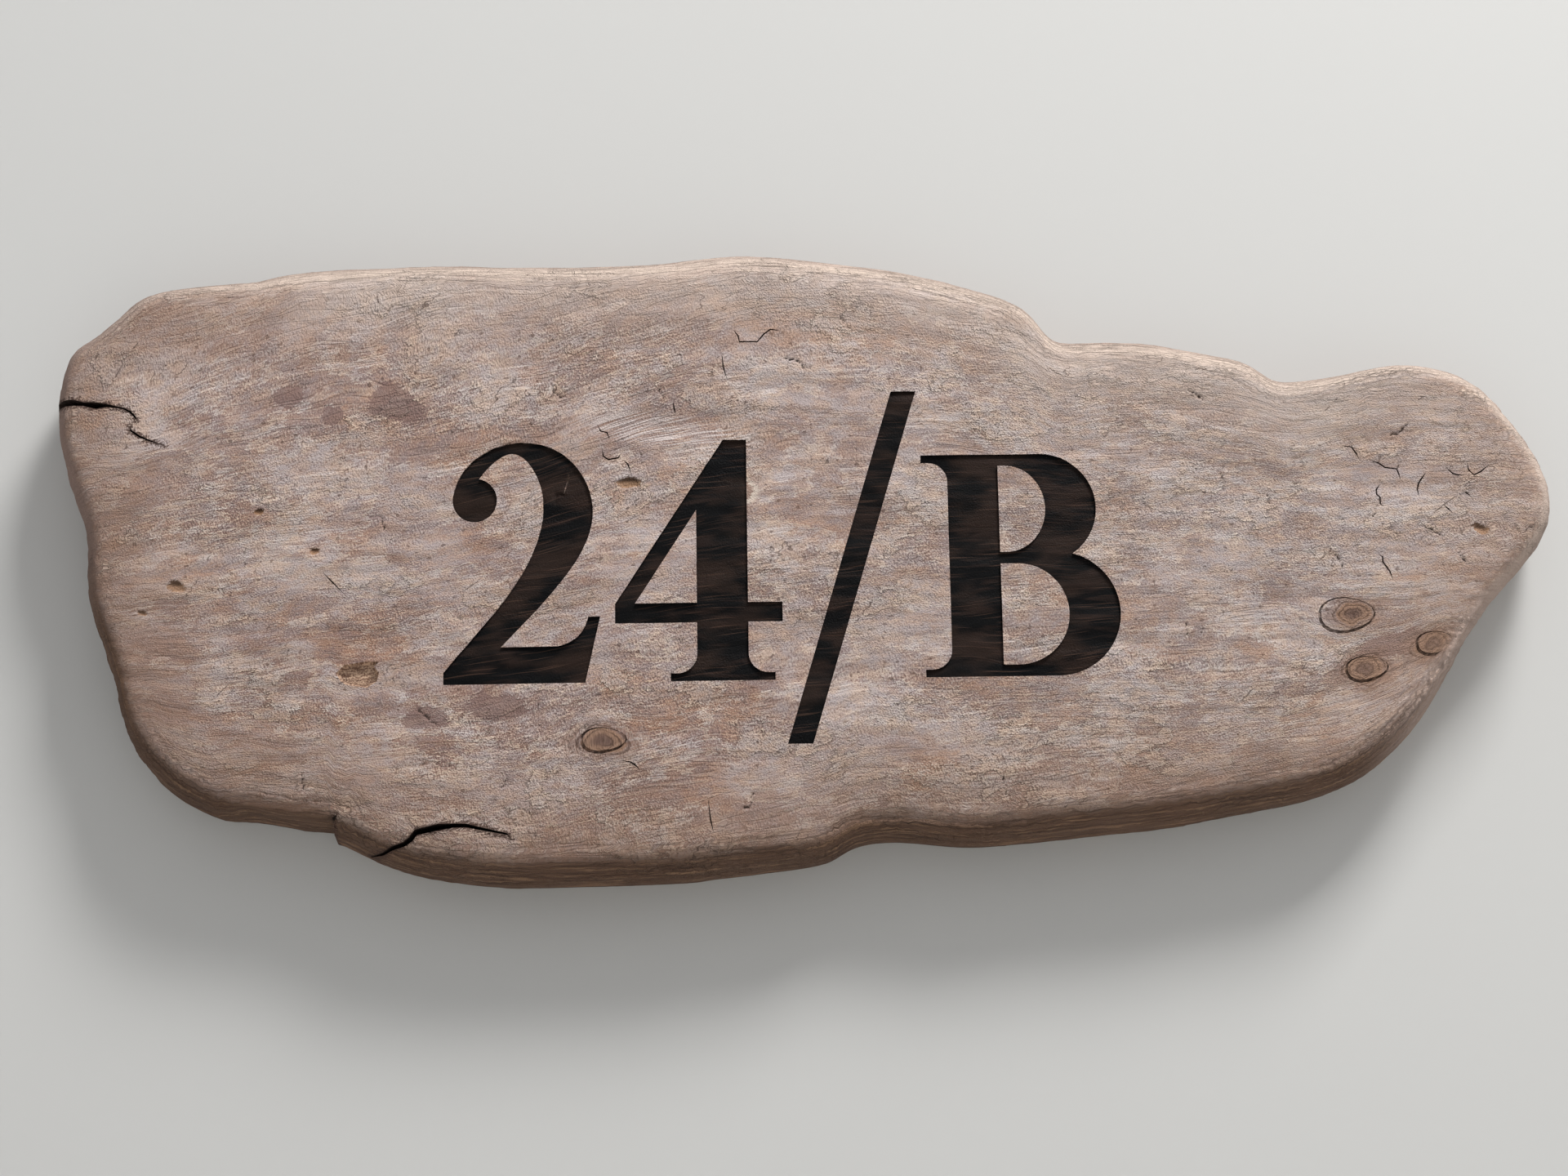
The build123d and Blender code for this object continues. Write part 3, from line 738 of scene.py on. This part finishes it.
# Wall and floor
# A pale plaster wall that the plaque is fixed to, open behind the plaque so that its back can be seen,
# and a pale floor well below it. Seen from behind, the wall lets the view through.
plaster = bpy.data.materials.new("pale_plaster")
plaster.use_nodes = True
plaster.node_tree.nodes.clear()
plain = plaster.node_tree
pale_grey = tone(204, 203, 200)
matt = add(plain, "ShaderNodeBsdfDiffuse", {"Color": pale_grey}).outputs[0]
clear = add(plain, "ShaderNodeBsdfTransparent").outputs[0]
from_behind = add(plain, "ShaderNodeNewGeometry").outputs["Backfacing"]
one_sided = add(plain, "ShaderNodeMixShader", {0: from_behind, 1: matt, 2: clear}).outputs[0]
add(plain, "ShaderNodeOutputMaterial", {"Surface": one_sided})

wall_half = 2.0
wall_gap = 0.0005
floor_half = 3
floor_level = -0.6
contact_inset = 5
wall = bmesh.new()
contact = rim_points - contact_inset * rim_facing
contact_round = sorted(contact / 1000, key=lambda point: atan2(point[1], point[0]))
opening = [wall.verts.new((x, wall_gap, z)) for x, z in contact_round]
low_corners = [(-wall_half, floor_level), (wall_half, floor_level)]
high_corners = [(wall_half, wall_half), (-wall_half, wall_half)]
border = [wall.verts.new((x, wall_gap, z)) for x, z in low_corners + high_corners]
for loop in (opening, border):
    for first, second in zip(loop, loop[1:] + loop[:1]):
        wall.edges.new((first, second))
bmesh.ops.triangle_fill(wall, use_beauty=True, edges=wall.edges)
for face in wall.faces:
    face.normal_update()
    if face.normal.y > 0:
        face.normal_flip()
wall_mesh = bpy.data.meshes.new("wall")
wall.to_mesh(wall_mesh)
wall.free()
wall_mesh.materials.append(plaster)
wall_piece = bpy.data.objects.new("wall", wall_mesh)
bpy.context.scene.collection.objects.link(wall_piece)

floor_mesh = bpy.data.meshes.new("floor")
floor_signs = [(-1, -1), (1, -1), (1, 1), (-1, 1)]
floor_corners = [(floor_half * x, floor_half * y, floor_level) for x, y in floor_signs]
floor_mesh.from_pydata(floor_corners, [], [(0, 1, 2, 3)])
floor_paint = bpy.data.materials.new("pale_floor")
floor_paint.use_nodes = True
floor_finish = floor_paint.node_tree.nodes["Principled BSDF"].inputs
floor_finish["Base Color"].default_value = pale_grey
floor_finish["Roughness"].default_value = 0.9
floor_mesh.materials.append(floor_paint)
floor_piece = bpy.data.objects.new("floor", floor_mesh)
bpy.context.scene.collection.objects.link(floor_piece)

# Light
# Soft daylight from above and to the right, given by one square lamp that is aimed at the plaque,
# under a sky that is brighter overhead than below.
sky = bpy.data.worlds.new("overcast")
sky.use_nodes = True
bpy.context.scene.world = sky
heaven = sky.node_tree
direction = add(heaven, "ShaderNodeTexCoord").outputs["Generated"]
overhead = add(heaven, "ShaderNodeSeparateXYZ", {0: direction}).outputs["Z"]
heaven.nodes["Background"].inputs["Color"].default_value = tone(238, 240, 244)
sky_below = 0.16
sky_above = 0.7
sky_strength = ramp(heaven, overhead, -0.6, 0.8, sky_below, sky_above)
heaven.links.new(sky_strength, heaven.nodes["Background"].inputs["Strength"])

lamp_place = Vector((0.6, -0.8, 1.5))
lamp = bpy.data.lights.new("daylight", "AREA")
lamp.shape = "SQUARE"
lamp.size = 0.5
lamp.energy = 39
daylight = bpy.data.objects.new("daylight", lamp)
daylight.location = lamp_place
daylight.rotation_euler = (-lamp_place).to_track_quat("-Z", "Y").to_euler()
bpy.context.scene.collection.objects.link(daylight)
bpy.context.scene.view_settings.view_transform = "Standard"

# Camera
# It looks up at the plaque from a little below its middle, as someone standing under it would,
# and aims where the whole plaque stands well inside the picture.
view_target = Vector((-0.00525, -0.02, -0.0086))
view_distance = 0.8
view_rise = radians(-12)
camera_data = bpy.data.cameras.new("camera")
camera_data.lens = 60
camera_data.sensor_width = 36
camera_data.clip_start = 0.01
camera = bpy.data.objects.new("camera", camera_data)
camera.location = view_target + view_distance * Vector((0, -cos(view_rise), sin(view_rise)))
camera.rotation_euler = (pi / 2 - view_rise, 0, 0)
bpy.context.scene.collection.objects.link(camera)
bpy.context.scene.camera = camera

bpy.context.view_layer.update()
